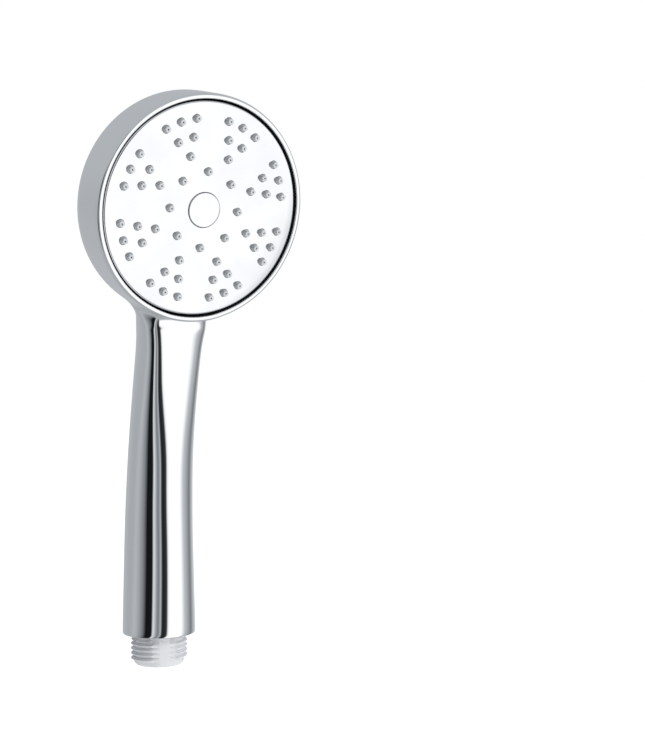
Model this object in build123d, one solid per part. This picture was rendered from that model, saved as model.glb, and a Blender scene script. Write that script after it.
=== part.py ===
"""Handheld shower head with a single spray, a chromed one-piece body and a G 1/2 inlet.

Millimetres, +Z up along the lower handle.  The origin is the centre of the inlet's
end face, where the hose washer seats.  The spray face looks towards -Y and down.
Each function below makes one sub-part, and each sub-part is written to parts/.
"""
from build123d import *
from math import cos, hypot, pi, radians, sin, sqrt, tan
import os

# Overall layout
FACE_TILT = 13.5                        # degrees that the spray face looks down
FACE_HEIGHT = 167.1                     # centre of the spray face above the inlet's end
FACE_REACH = 35.9                       # centre of the spray face ahead of the inlet axis

# Head; depths are measured back from the centre of the spray face
HEAD_RADIUS = 40.9
HEAD_DRAFT = 0.25                       # radius lost from the rim to the back edge
RIM_DEPTH = 0.4
RIM_ROUND = 0.6
RIM_BORE = 38.9                         # recess that takes the face plate
RIM_BORE_DEPTH = 7.0
BACK_EDGE_DEPTH = 20.4
BACK_DEPTH = 25.8
BACK_ROUND = 3.0                        # round the back and where the neck runs in
POCKET_RADIUS = 38.2
POCKET_DEPTH = 17.6
POCKET_DOME_DEPTH = 23.3
BOSS_RADIUS = 4.8                       # post in the back that takes the centre screw

# Handle
HANDLE_END_RADIUS = 13.7
HANDLE_WAIST_RADIUS = 11.6
HANDLE_WAIST_LENGTH = 112.0             # along the axis from the inlet's end
HANDLE_NARROWING = 1.2                  # exponent of the taper
HANDLE_END_HEIGHT = 11.6
HANDLE_END_ROUND = 1.0
HANDLE_TOP = -54.0                      # height across the face where the neck starts
HANDLE_SECTIONS = 6
HANDLE_BEND_RADIUS = 380.0
HANDLE_AXIS_DEPTH = 16.35               # depth of the handle axis where it enters the head
HANDLE_WALL = 2.5
SECTION_POINTS = 12

# Neck sections, square to the handle axis: height across the face, half width,
# and the depths of the front and the back
NECK_SECTIONS = (
    (-46, 12.8, 4.6, 28.2),
    (-38.5, 17.8, 5.8, 28.2),
    (-31, 21.5, 8.0, 28.0),
    (-23, 19.0, 10.5, 27.0),
    (-14, 12.0, 12.0, 23.0),
)
# Hollow of the neck: height across the face, radius and depth of the middle
NECK_HOLLOW = ((-46, 9.1, 16.35), (-30, 9.1, 16.3), (-9, 7.5, 15.9))

# Spray pattern: eight clusters of six nozzles, and an inner ring of eight
CLUSTERS = 8
CLUSTER_TURN = 22.5                     # degrees from +X to the first cluster's middle
ROW_SPACING = 6.2
INNER_RING_RADIUS = 13.6
NOZZLE_BASE_RADIUS = 1.6
NOZZLE_TIP_RADIUS = 1.15
NOZZLE_TIP_ROUND = 0.3
NOZZLE_HEIGHT = 1.75                    # above the face plate
ORIFICE_RADIUS = 0.3
ORIFICE_LENGTH = 1.2
FEED_RADIUS = 0.9

# Stack of discs in the head, from the front
PLATE_RADIUS = 38.3
PLATE_CROWN_RADIUS = 600.0              # the face plate is very slightly domed
PLATE_EDGE_ROUND = 0.5
PLATE_BACK_DEPTH = 2.8
SKIRT_BORE = 36.6
SKIRT_DEPTH = 6.9
DISC_RADIUS = 36.4
MAT_FRONT_DEPTH = 2.85
MAT_BACK_DEPTH = 4.05
BACKING_FRONT_DEPTH = 4.1
BACKING_BACK_DEPTH = 6.6
COVER_FRONT_DEPTH = 6.65
COVER_FLOOR_DEPTH = 10.7
COVER_BACK_DEPTH = 12.4
CHAMBER_RADIUS = 33.4
SEAL_RADIUS = 34.9
SEAL_THICKNESS = 0.9

# Centre of the face: a cup for the screw, closed by a cap
CAP_RADIUS = 6.2
CAP_PROUD = 0.3
CAP_THICKNESS = 1.2
CAP_EDGE_ROUND = 0.25
CUP_RADIUS = 6.35
CUP_WALL = 1.05
CUP_FLOOR_DEPTH = 4.4
CUP_BACK_DEPTH = 5.6
HUB_RADIUS = 4.4
SCREW_RADIUS = 2.0
SCREW_HEAD_RADIUS = 3.6
SCREW_HEAD_HEIGHT = 1.7
SCREW_END_DEPTH = 20.5
SCREW_CLEARANCE = 0.2

# Six small screws that close the water chamber
CHAMBER_SCREW_CIRCLE = 29.5
CHAMBER_SCREW_ANGLES = (0, 45, 135, 180, 225, 315)
CHAMBER_SCREW_RADIUS = 1.2
CHAMBER_SCREW_HEAD_RADIUS = 2.2
CHAMBER_SCREW_HEAD_HEIGHT = 1.3
CHAMBER_SCREW_LENGTH = 6.5
CHAMBER_BOSS_RADIUS = 2.5

# Socket on the chamber cover, and the water tube that plugs into it
SOCKET_RADIUS = 6.3
SOCKET_BORE_RADIUS = 4.6
SOCKET_TOP = -9.5
SOCKET_BOTTOM = -34.0
PASSAGE_HEIGHT = -14.2
PASSAGE_RADIUS = 2.9
TUBE_RADIUS = 4.2
TUBE_BORE_RADIUS = 2.9
TUBE_TOP = -18.6
TUBE_BOTTOM = 27.0
SPIGOT_RADIUS = 4.5
SPIGOT_LENGTH = 13.0
SPIGOT_GROOVES = (3.0, 7.5)             # from the end of the tube
GROOVE_RADIUS = 3.55
GROOVE_WIDTH = 1.3

# Inlet: G 1/2 parallel pipe thread with moulded flats
THREAD_CREST_RADIUS = 20.955 / 2
THREAD_ROOT_RADIUS = 18.631 / 2
THREAD_PITCH = 25.4 / 14
THREAD_START = 1.5
THREAD_END = 9.9
THREAD_RUNOUT = 1.3
THREAD_FLAT_DISTANCE = 9.15             # from the axis
THREAD_FLAT_TURN = -15.0                # degrees from the front
INLET_BORE_RADIUS = 7.2
INLET_EDGE = 0.8
COLLAR_BOTTOM = 12.4
COLLAR_RADIUS = 11.15
COLLAR_TOP = 23.0
CONNECTOR_RADIUS = 10.2
CONNECTOR_TOP = 42.0
WEB_BOTTOM = 22.6
WEB_TOP = 26.0
WEB_BORE_RADIUS = 3.4
HANDLE_BORE_RADIUS = 11.2
HANDLE_BORE_TOP = 23.6
SNAP_RING_BOTTOM = 13.6
SNAP_RING_THICKNESS = 1.5
SNAP_RING_INNER = 10.4
SNAP_RING_OUTER = 12.2
SNAP_RING_OPENING = 5.0
CONNECTOR_GROOVE_MIDDLE = 19.4
CONNECTOR_GROOVE_RADIUS = 9.7

# Inlet filter
FILTER_BOTTOM = 4.9
FILTER_TOP = 6.2
FILTER_BORE_RADIUS = 5.4
MESH_RADIUS = 5.85
MESH_BOTTOM = 5.4
MESH_THICKNESS = 0.35
MESH_PITCH = 1.2
MESH_HOLE = 0.8

# Check valve
INSERT_RADIUS = 7.15                    # outer radius of everything that fits the inlet bore
VALVE_BOTTOM = 6.35
VALVE_TOP = 16.2
VALVE_BORE_RADIUS = 5.9
SEAT_TOP = 7.8
SEAT_BORE_RADIUS = 3.9
VALVE_GROOVE_MIDDLE = 11.6
VALVE_GROOVE_RADIUS = 6.3
VALVE_GROOVE_WIDTH = 1.3
POPPET_RADIUS = 4.9
POPPET_BOTTOM = 8.15
POPPET_TOP = 9.3
POPPET_SEAL_INNER = 3.3
POPPET_SEAL_OUTER = 4.7
POPPET_SEAL_BOTTOM = 7.85
STEM_RADIUS = 1.3
STEM_TOP = 15.9
STEM_FIT = 0.06
VALVE_TRAVEL = 2.5
RETAINER_BOTTOM = 14.4
RETAINER_HUB_RADIUS = 2.9
RETAINER_RIM_INNER = 4.9
SPRING_RADIUS = 2.3
SPRING_WIRE_RADIUS = 0.25
SPRING_TURNS = 4.5

# Flow regulator
REGULATOR_BOTTOM = 18.8
REGULATOR_TOP = 22.55
REGULATOR_RING_BORE = 5.4
REGULATOR_CORE_RADIUS = 2.3
REGULATOR_FLOOR_THICKNESS = 1.2
REGULATOR_RING_SECTION = 0.75

FIT = 0.02                              # left between sealed pieces that touch in use
GAP = 0.15                              # general moulding clearance
WEBS = 3                                # arms of the retainer and of the regulator

TILT = radians(FACE_TILT)
HEAD = Plane(
    origin=(0, -FACE_REACH, FACE_HEIGHT),
    x_dir=(1, 0, 0),
    z_dir=(0, -cos(TILT), -sin(TILT)),
)
# The handle axis rises along Z, bends through the tilt, then runs parallel to the face.
AXIS_AT_FACE = HEAD.from_local_coords(Vector(0, 0, -HANDLE_AXIS_DEPTH))
BEND_CORNER = AXIS_AT_FACE.Z + AXIS_AT_FACE.Y / tan(TILT)
BEND_TANGENT = HANDLE_BEND_RADIUS * tan(TILT / 2)
BEND_START = BEND_CORNER - BEND_TANGENT
BEND_END = BEND_START + HANDLE_BEND_RADIUS * TILT
BEND_END_HEIGHT = BEND_TANGENT - hypot(AXIS_AT_FACE.Y, AXIS_AT_FACE.Z - BEND_CORNER)


def axis_plane(length):
    """Plane square to the handle axis, at a length along it from the inlet's end."""
    if length <= BEND_START:
        return Plane(origin=(0, 0, length), x_dir=(1, 0, 0), z_dir=(0, 0, 1))
    turn = min((length - BEND_START) / HANDLE_BEND_RADIUS, TILT)
    beyond = max(length - BEND_END, 0)
    back = -HANDLE_BEND_RADIUS * (1 - cos(turn)) - beyond * sin(turn)
    rise = BEND_START + HANDLE_BEND_RADIUS * sin(turn) + beyond * cos(turn)
    return Plane(origin=(0, back, rise), x_dir=(1, 0, 0), z_dir=(0, -sin(turn), cos(turn)))


def head_length(height):
    """Length along the handle axis that lies at this height across the spray face."""
    return BEND_END + height - BEND_END_HEIGHT


def handle_radius(length):
    """Outer radius of the handle, which narrows from its end to the waist."""
    left = (HANDLE_WAIST_LENGTH - length) / (HANDLE_WAIST_LENGTH - HANDLE_END_HEIGHT)
    swell = HANDLE_END_RADIUS - HANDLE_WAIST_RADIUS
    return HANDLE_WAIST_RADIUS + swell * max(left, 0) ** HANDLE_NARROWING


def oval(plane, middle, half_width, half_depth):
    """Oval section that starts at the back, so that the skin's seam runs down the back."""
    turns = [2 * pi * index / SECTION_POINTS for index in range(SECTION_POINTS)]
    points = [(half_width * sin(turn), middle + half_depth * cos(turn)) for turn in turns]
    with BuildSketch(plane) as section:
        with BuildLine():
            Spline(*points, periodic=True)
        make_face()
    return section.sketch


def handle_lengths(first):
    """Evenly spaced lengths along the handle axis, from first to the start of the neck."""
    step = (head_length(HANDLE_TOP) - first) / HANDLE_SECTIONS
    return [first + step * index for index in range(HANDLE_SECTIONS + 1)]


def handle_solid():
    """Handle and neck in one smooth skin, from the inlet end up into the head's back."""
    sections = []
    for length in handle_lengths(HANDLE_END_HEIGHT):
        radius = handle_radius(length)
        sections.append(oval(axis_plane(length), 0, radius, radius))
    for height, half_width, front, back in NECK_SECTIONS:
        middle = (front + back) / 2 - HANDLE_AXIS_DEPTH
        sections.append(oval(axis_plane(head_length(height)), middle, half_width, (back - front) / 2))
    return loft(sections)


def handle_hollow():
    """Space inside the handle and neck for the connector and the water tube."""
    sections = []
    for length in handle_lengths(HANDLE_BORE_TOP - 1):
        radius = handle_radius(length) - HANDLE_WALL
        sections.append(oval(axis_plane(length), 0, radius, radius))
    for height, radius, depth in NECK_HOLLOW:
        plane = axis_plane(head_length(height))
        sections.append(oval(plane, depth - HANDLE_AXIS_DEPTH, radius, radius))
    return loft(sections)


def turned(*outline):
    """Solid of revolution about Z from an outline of (radius, height) points."""
    with BuildPart() as solid:
        with BuildSketch(Plane.XZ):
            with BuildLine():
                Polyline(*outline, close=True)
            make_face()
        revolve(axis=Axis.Z)
    return solid.part


def ring(inner, outer, bottom, top):
    """Plain ring about Z."""
    return turned((inner, bottom), (outer, bottom), (outer, top), (inner, top))


def disc(radius, bottom, top):
    """Plain disc about Z."""
    return Pos(0, 0, bottom) * Cylinder(radius, top - bottom, align=(Align.CENTER, Align.CENTER, Align.MIN))


def o_ring(middle_radius, section_radius, height):
    """Round-section ring about Z."""
    return Pos(0, 0, height) * Torus(middle_radius, section_radius)


def dome_radius(radius, rise):
    """Radius of curvature of a dome with this radius at its edge and this rise."""
    return (radius**2 + rise**2) / (2 * rise)


def domed(radius, edge_depth, middle_depth, front_depth):
    """Disc about Z with a flat front and a back that bulges towards -Z."""
    curve = dome_radius(radius, middle_depth - edge_depth)
    with BuildPart() as solid:
        with BuildSketch(Plane.XZ):
            with BuildLine():
                RadiusArc((radius, -edge_depth), (0, -middle_depth), curve)
                Polyline(
                    (0, -middle_depth),
                    (0, -front_depth),
                    (radius, -front_depth),
                    (radius, -edge_depth),
                )
            make_face()
        revolve(axis=Axis.Z)
    return solid.part


def polar(radius, angle):
    """Place on the spray face, from its centre."""
    return Pos(radius * cos(radians(angle)), radius * sin(radians(angle)))


def nozzle_places():
    """Radius and angle of every nozzle: three, two and one in each cluster, then the inner ring."""
    places = []
    for cluster in range(CLUSTERS):
        middle = CLUSTER_TURN + cluster * 360 / CLUSTERS
        for row in range(3):
            radius = INNER_RING_RADIUS + (row + 1) * ROW_SPACING
            for seat in range(row + 1):
                # nozzles in a row stand a row's spacing apart along the arc
                offset = (seat - row / 2) * ROW_SPACING / radius * 180 / pi
                places.append((radius, middle + offset))
        places.append((INNER_RING_RADIUS, cluster * 360 / CLUSTERS))
    return places


def on_nozzles(make):
    """One solid on each nozzle's place, made by a function of the radius from the centre."""
    return [polar(radius, angle) * make(radius) for radius, angle in nozzle_places()]


def crown(radius):
    """Height of the face plate's front at this radius; its centre is at zero."""
    return sqrt(PLATE_CROWN_RADIUS**2 - radius**2) - PLATE_CROWN_RADIUS


def back_and_neck_edges(solid):
    """Edge round the back of the head and the line where the neck runs into the head."""
    edges = []
    for edge in solid.edges():
        place = HEAD.to_local_coords(edge.center())
        behind_rim = place.Z < -RIM_DEPTH - RIM_ROUND - 1
        above_bend = place.Y > NECK_SECTIONS[0][0]
        if behind_rim and above_bend and edge.geom_type != GeomType.LINE:
            edges.append(edge)
    return edges


def body_shell():
    """Chromed one-piece body: head cup and handle, hollow throughout."""
    back_radius = HEAD_RADIUS - HEAD_DRAFT
    curve = dome_radius(back_radius, BACK_DEPTH - BACK_EDGE_DEPTH)
    with BuildPart() as drum:
        with BuildSketch(Plane.XZ):
            with BuildLine():
                Line((0, -RIM_DEPTH), (HEAD_RADIUS - RIM_ROUND, -RIM_DEPTH))
                RadiusArc(
                    (HEAD_RADIUS - RIM_ROUND, -RIM_DEPTH),
                    (HEAD_RADIUS, -RIM_DEPTH - RIM_ROUND),
                    RIM_ROUND,
                )
                Line((HEAD_RADIUS, -RIM_DEPTH - RIM_ROUND), (back_radius, -BACK_EDGE_DEPTH))
                RadiusArc((back_radius, -BACK_EDGE_DEPTH), (0, -BACK_DEPTH), curve)
                Line((0, -BACK_DEPTH), (0, -RIM_DEPTH))
            make_face()
        revolve(axis=Axis.Z)
    handle = handle_solid()
    handle = fillet(handle.edges().sort_by(Axis.Z)[0], HANDLE_END_ROUND)
    outside = handle + HEAD * drum.part
    outside = fillet(back_and_neck_edges(outside), BACK_ROUND)
    pocket = domed(POCKET_RADIUS, POCKET_DEPTH, POCKET_DOME_DEPTH, 1)
    pocket += disc(RIM_BORE, -RIM_BORE_DEPTH, 1)
    pocket -= disc(BOSS_RADIUS, -POCKET_DOME_DEPTH - 1, -COVER_BACK_DEPTH - FIT)
    groove_bottom = SNAP_RING_BOTTOM - GAP / 2
    groove_top = SNAP_RING_BOTTOM + SNAP_RING_THICKNESS + GAP / 2
    shell = outside - handle_hollow() - HEAD * pocket
    shell -= disc(HANDLE_BORE_RADIUS, HANDLE_END_HEIGHT - 1, HANDLE_BORE_TOP)
    shell -= disc(SNAP_RING_OUTER + FIT, groove_bottom, groove_top)
    return shell - HEAD * disc(SCREW_RADIUS, -SCREW_END_DEPTH - 1, 0)


def face_plate():
    """Slightly domed spray plate with a skirt, the nozzle holes and a cup for the screw."""
    edge_depth = -crown(PLATE_RADIUS)
    with BuildPart() as plate:
        with BuildSketch(Plane.XZ):
            with BuildLine():
                RadiusArc((0, 0), (PLATE_RADIUS, -edge_depth), PLATE_CROWN_RADIUS)
                Polyline(
                    (PLATE_RADIUS, -edge_depth),
                    (PLATE_RADIUS, -SKIRT_DEPTH),
                    (SKIRT_BORE, -SKIRT_DEPTH),
                    (SKIRT_BORE, -PLATE_BACK_DEPTH),
                    (CUP_RADIUS + CUP_WALL, -PLATE_BACK_DEPTH),
                    (CUP_RADIUS + CUP_WALL, -CUP_BACK_DEPTH),
                    (0, -CUP_BACK_DEPTH),
                    (0, 0),
                )
            make_face()
        revolve(axis=Axis.Z)
        rims = [edge for edge in plate.edges() if edge.is_closed and edge.center().Z > -edge_depth - 1]
        fillet(rims, PLATE_EDGE_ROUND)
    hole_radius = NOZZLE_BASE_RADIUS + GAP
    holes = on_nozzles(lambda radius: disc(hole_radius, -PLATE_BACK_DEPTH - 1, 1))
    cup = disc(CUP_RADIUS, -CUP_FLOOR_DEPTH, 1)
    screw_hole = disc(SCREW_RADIUS + SCREW_CLEARANCE, -CUP_BACK_DEPTH - 1, 0)
    return HEAD * (plate.part - holes - cup - screw_hole)


def nozzle(radius):
    """Soft tapered nozzle with a rounded tip, standing on the mat at this radius."""
    tip = crown(radius) + NOZZLE_HEIGHT
    foot = -MAT_FRONT_DEPTH - 0.5
    with BuildPart() as solid:
        with BuildSketch(Plane.XZ):
            with BuildLine():
                Polyline(
                    (NOZZLE_TIP_RADIUS - NOZZLE_TIP_ROUND, tip),
                    (0, tip),
                    (0, foot),
                    (NOZZLE_BASE_RADIUS, foot),
                    (NOZZLE_BASE_RADIUS, crown(radius)),
                    (NOZZLE_TIP_RADIUS, tip - NOZZLE_TIP_ROUND),
                )
                RadiusArc(
                    (NOZZLE_TIP_RADIUS, tip - NOZZLE_TIP_ROUND),
                    (NOZZLE_TIP_RADIUS - NOZZLE_TIP_ROUND, tip),
                    -NOZZLE_TIP_ROUND,
                )
            make_face()
        revolve(axis=Axis.Z)
    return solid.part


def nozzle_bore(radius):
    """Way through a nozzle: a feed hole behind a fine orifice."""
    tip = crown(radius) + NOZZLE_HEIGHT
    neck = tip - ORIFICE_LENGTH
    return turned(
        (0, -MAT_BACK_DEPTH - 1),
        (FEED_RADIUS, -MAT_BACK_DEPTH - 1),
        (FEED_RADIUS, neck - FEED_RADIUS + ORIFICE_RADIUS),
        (ORIFICE_RADIUS, neck),
        (ORIFICE_RADIUS, tip + 1),
        (0, tip + 1),
    )


def nozzle_mat():
    """Silicone mat that carries all the nozzles."""
    mat = ring(CUP_RADIUS + CUP_WALL + GAP, DISC_RADIUS, -MAT_BACK_DEPTH, -MAT_FRONT_DEPTH)
    mat += on_nozzles(nozzle)
    return HEAD * (mat - on_nozzles(nozzle_bore))


def nozzle_backing_plate():
    """Rigid disc behind the mat, with a feed hole for each nozzle and bosses for the screws."""
    plate = ring(0, DISC_RADIUS, -BACKING_BACK_DEPTH, -BACKING_FRONT_DEPTH)
    plate += disc(HUB_RADIUS, -COVER_FLOOR_DEPTH + FIT, -BACKING_BACK_DEPTH)
    boss = disc(CHAMBER_BOSS_RADIUS, -COVER_FLOOR_DEPTH + FIT, -BACKING_BACK_DEPTH)
    pilot = disc(CHAMBER_SCREW_RADIUS, -COVER_FLOOR_DEPTH - 1, -BACKING_BACK_DEPTH)
    plate += [polar(CHAMBER_SCREW_CIRCLE, angle) * boss for angle in CHAMBER_SCREW_ANGLES]
    plate -= [polar(CHAMBER_SCREW_CIRCLE, angle) * pilot for angle in CHAMBER_SCREW_ANGLES]
    plate -= disc(CUP_RADIUS + CUP_WALL + GAP, -CUP_BACK_DEPTH - FIT, 0)
    plate -= disc(SCREW_RADIUS + SCREW_CLEARANCE, -COVER_FLOOR_DEPTH - 1, 0)
    seal_seat = disc(HUB_RADIUS - 0.9, -COVER_FLOOR_DEPTH, -COVER_FLOOR_DEPTH + SEAL_THICKNESS)
    feed = disc(FEED_RADIUS, -BACKING_BACK_DEPTH - 1, 0)
    return HEAD * (plate - seal_seat - on_nozzles(lambda radius: feed))


def chamber_cover():
    """Rear half of the water chamber, with the socket that the water tube plugs into."""
    cover = ring(0, DISC_RADIUS, -COVER_BACK_DEPTH, -COVER_FRONT_DEPTH)
    cover -= disc(CHAMBER_RADIUS, -COVER_FLOOR_DEPTH, 0)
    groove = SEAL_THICKNESS / 2 + FIT
    seat_depth = COVER_FRONT_DEPTH + SEAL_THICKNESS + FIT
    cover -= ring(SEAL_RADIUS - groove, SEAL_RADIUS + groove, -seat_depth, 0)
    axis = Plane(origin=(0, SOCKET_BOTTOM, -HANDLE_AXIS_DEPTH), x_dir=(1, 0, 0), z_dir=(0, 1, 0))
    length = SOCKET_TOP - SOCKET_BOTTOM
    web = Pos(0, (SOCKET_TOP + SOCKET_BOTTOM) / 2, -(COVER_BACK_DEPTH + HANDLE_AXIS_DEPTH) / 2)
    cover += web * Box(SOCKET_RADIUS, length, HANDLE_AXIS_DEPTH - COVER_BACK_DEPTH + 1)
    cover += axis * disc(SOCKET_RADIUS, 0, length)
    cover -= axis * disc(SOCKET_BORE_RADIUS, -DISC_RADIUS, TUBE_TOP - SOCKET_BOTTOM + 1)
    cover -= axis * disc(PASSAGE_RADIUS + 0.6, 0, PASSAGE_HEIGHT - SOCKET_BOTTOM + 1)
    cover -= Pos(0, PASSAGE_HEIGHT) * disc(PASSAGE_RADIUS, -HANDLE_AXIS_DEPTH, 0)
    cover -= disc(SCREW_RADIUS + SCREW_CLEARANCE, -COVER_BACK_DEPTH - 1, 0)
    clearance = disc(CHAMBER_SCREW_RADIUS + GAP, -COVER_BACK_DEPTH - 1, -COVER_FLOOR_DEPTH + 1)
    cover -= [polar(CHAMBER_SCREW_CIRCLE, angle) * clearance for angle in CHAMBER_SCREW_ANGLES]
    return HEAD * cover


def chamber_seal():
    """Rubber ring in the cover's groove, closed by the backing plate."""
    section = SEAL_THICKNESS / 2
    return HEAD * o_ring(SEAL_RADIUS, section, -COVER_FRONT_DEPTH - section)


def pan_screw(radius, length, head_radius, head_height):
    """Pan-head screw with a cross recess, its shank along -Z and its seat at zero."""
    screw = disc(radius, -length, 0) + disc(head_radius, 0, head_height)
    screw = fillet(screw.edges().sort_by(Axis.Z)[-1], head_height / 2)
    point = screw.edges().filter_by(GeomType.CIRCLE).sort_by(Axis.Z)[0]
    screw = chamfer(point, radius / 3)
    slot = Box(head_radius * 1.1, head_radius * 0.28, head_height)
    recess = Pos(0, 0, head_height) * (slot + Rot(0, 0, 90) * slot)
    return screw - recess


def chamber_screws():
    """Six self-tapping screws, put in from the back of the chamber cover."""
    screw = pan_screw(
        CHAMBER_SCREW_RADIUS,
        CHAMBER_SCREW_LENGTH - 1,
        CHAMBER_SCREW_HEAD_RADIUS,
        CHAMBER_SCREW_HEAD_HEIGHT,
    )
    screw = Pos(0, 0, -COVER_BACK_DEPTH) * Rot(180, 0, 0) * screw
    return HEAD * Compound([polar(CHAMBER_SCREW_CIRCLE, angle) * screw for angle in CHAMBER_SCREW_ANGLES])


def centre_screw():
    """Screw that holds the whole face assembly to the post in the body's back."""
    length = SCREW_END_DEPTH - CUP_FLOOR_DEPTH
    screw = pan_screw(SCREW_RADIUS, length, SCREW_HEAD_RADIUS, SCREW_HEAD_HEIGHT)
    return HEAD * Pos(0, 0, -CUP_FLOOR_DEPTH) * screw


def centre_screw_seal():
    """Rubber ring round the centre screw, between the hub and the chamber cover."""
    section = SEAL_THICKNESS / 2 - FIT
    middle = HUB_RADIUS - 0.9 - section - FIT
    return HEAD * o_ring(middle, section, -COVER_FLOOR_DEPTH + section)


def centre_cap():
    """Cap that snaps into the middle of the face plate over the screw."""
    bow = CAP_PROUD / 2
    with BuildPart() as cap:
        with BuildSketch(Plane.XZ):
            with BuildLine():
                RadiusArc((0, CAP_PROUD + bow), (CAP_RADIUS, CAP_PROUD), dome_radius(CAP_RADIUS, bow))
                Polyline(
                    (CAP_RADIUS, CAP_PROUD),
                    (CAP_RADIUS, -CUP_FLOOR_DEPTH + 0.8),
                    (CAP_RADIUS - CAP_THICKNESS, -CUP_FLOOR_DEPTH + 0.8),
                    (CAP_RADIUS - CAP_THICKNESS, CAP_PROUD - CAP_THICKNESS),
                    (0, CAP_PROUD - CAP_THICKNESS),
                    (0, CAP_PROUD + bow),
                )
            make_face()
        revolve(axis=Axis.Z)
        rims = [edge for edge in cap.edges() if edge.is_closed and edge.center().Z > 0]
        fillet(rims, CAP_EDGE_ROUND)
    return HEAD * cap.part


def tube_end(at_top):
    """Plane at an end of the water tube, looking into the tube."""
    if at_top:
        end = axis_plane(head_length(TUBE_TOP))
        return Plane(origin=end.origin, x_dir=(1, 0, 0), z_dir=-end.z_dir)
    return axis_plane(TUBE_BOTTOM)


def handle_tube():
    """Inner tube that carries the water up the handle, with a grooved spigot at each end."""
    bottom = axis_plane(TUBE_BOTTOM)
    top = axis_plane(head_length(TUBE_TOP))
    with BuildLine() as route:
        Line(bottom.origin, axis_plane(BEND_START).origin)
        ThreePointArc(
            axis_plane(BEND_START).origin,
            axis_plane((BEND_START + BEND_END) / 2).origin,
            axis_plane(BEND_END).origin,
        )
        Line(axis_plane(BEND_END).origin, top.origin)
    tube = sweep(bottom * Circle(TUBE_RADIUS), path=route.line)
    for at_top in (True, False):
        spigot = disc(SPIGOT_RADIUS, 0, SPIGOT_LENGTH)
        for groove in SPIGOT_GROOVES:
            spigot -= ring(GROOVE_RADIUS, SPIGOT_RADIUS + 1, groove - GROOVE_WIDTH / 2, groove + GROOVE_WIDTH / 2)
        tube -= tube_end(at_top) * disc(SPIGOT_RADIUS, -1, SPIGOT_LENGTH)
        tube += tube_end(at_top) * spigot
    bore = sweep(bottom * Circle(TUBE_BORE_RADIUS), path=route.line)
    return tube - bore


def spigot_o_rings(at_top):
    """Pair of rubber rings in the grooves of one spigot."""
    section = (SOCKET_BORE_RADIUS - GROOVE_RADIUS) / 2 - FIT / 2
    middle = GROOVE_RADIUS + section
    rings = [tube_end(at_top) * o_ring(middle, section, groove) for groove in SPIGOT_GROOVES]
    return Compound(rings)


def thread():
    """Helical ridge of the inlet thread, fading out at both ends and cut by two flats."""
    depth = THREAD_CREST_RADIUS - THREAD_ROOT_RADIUS
    sunk = 0.3
    turns = (THREAD_END - THREAD_START) / THREAD_PITCH
    start = Plane(origin=(THREAD_ROOT_RADIUS, 0, THREAD_START), x_dir=(1, 0, 0), z_dir=(0, -1, 0))
    foot = THREAD_PITCH * 0.46
    crest = THREAD_PITCH * 0.08
    with BuildSketch(start) as profile:
        with BuildLine():
            Polyline(
                (-sunk, -foot - sunk / 2),
                (depth, -crest),
                (depth, crest),
                (-sunk, foot + sunk / 2),
                close=True,
            )
        make_face()
    helix = Pos(0, 0, THREAD_START) * Helix(THREAD_PITCH, turns * THREAD_PITCH, THREAD_ROOT_RADIUS)
    ridge = sweep(profile.sketch, path=helix, is_frenet=True)
    clear = THREAD_CREST_RADIUS + 0.1
    slope = THREAD_RUNOUT / depth
    bottom = THREAD_START - THREAD_PITCH / 3
    top = THREAD_END + THREAD_PITCH / 3
    envelope = turned(
        (0, bottom - slope * sunk * 2),
        (THREAD_ROOT_RADIUS - sunk * 2, bottom - slope * sunk * 2),
        (clear, bottom + slope * (clear - THREAD_ROOT_RADIUS)),
        (clear, top - slope * (clear - THREAD_ROOT_RADIUS)),
        (THREAD_ROOT_RADIUS - sunk * 2, top + slope * sunk * 2),
        (0, top + slope * sunk * 2),
    )
    return ridge & envelope


def inlet_connector():
    """White inlet nipple: threaded end, collar with ring grooves, and a socket for the tube."""
    connector = turned(
        (INLET_BORE_RADIUS + INLET_EDGE / 3, 0),
        (THREAD_ROOT_RADIUS - INLET_EDGE, 0),
        (THREAD_ROOT_RADIUS, INLET_EDGE),
        (THREAD_ROOT_RADIUS, COLLAR_BOTTOM),
        (COLLAR_RADIUS, COLLAR_BOTTOM),
        (COLLAR_RADIUS, COLLAR_TOP),
        (CONNECTOR_RADIUS, COLLAR_TOP + 1),
        (CONNECTOR_RADIUS, CONNECTOR_TOP),
        (SOCKET_BORE_RADIUS + 0.6, CONNECTOR_TOP),
        (SOCKET_BORE_RADIUS, CONNECTOR_TOP - 1),
        (SOCKET_BORE_RADIUS, WEB_TOP),
        (WEB_BORE_RADIUS, WEB_TOP),
        (WEB_BORE_RADIUS, WEB_BOTTOM),
        (INLET_BORE_RADIUS, WEB_BOTTOM),
        (INLET_BORE_RADIUS, INLET_EDGE / 3),
    )
    for middle, depth_radius, width in (
        (SNAP_RING_BOTTOM + SNAP_RING_THICKNESS / 2, SNAP_RING_INNER - FIT, SNAP_RING_THICKNESS + GAP),
        (CONNECTOR_GROOVE_MIDDLE, CONNECTOR_GROOVE_RADIUS, 2.2),
    ):
        connector -= ring(depth_radius, COLLAR_RADIUS + 1, middle - width / 2, middle + width / 2)
    connector += thread()
    beyond = 5
    for side in (1, -1):
        block = Pos(0, side * (THREAD_FLAT_DISTANCE + beyond / 2), (THREAD_END + 1.3) / 2 - 1)
        connector -= Rot(0, 0, THREAD_FLAT_TURN) * block * Box(4 * beyond, beyond, THREAD_END + 1.3)
    return connector


def connector_o_ring():
    """Rubber ring between the connector's collar and the handle."""
    section = (HANDLE_BORE_RADIUS - CONNECTOR_GROOVE_RADIUS) / 2 - FIT / 2
    return o_ring(CONNECTOR_GROOVE_RADIUS + section, section, CONNECTOR_GROOVE_MIDDLE)


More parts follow.
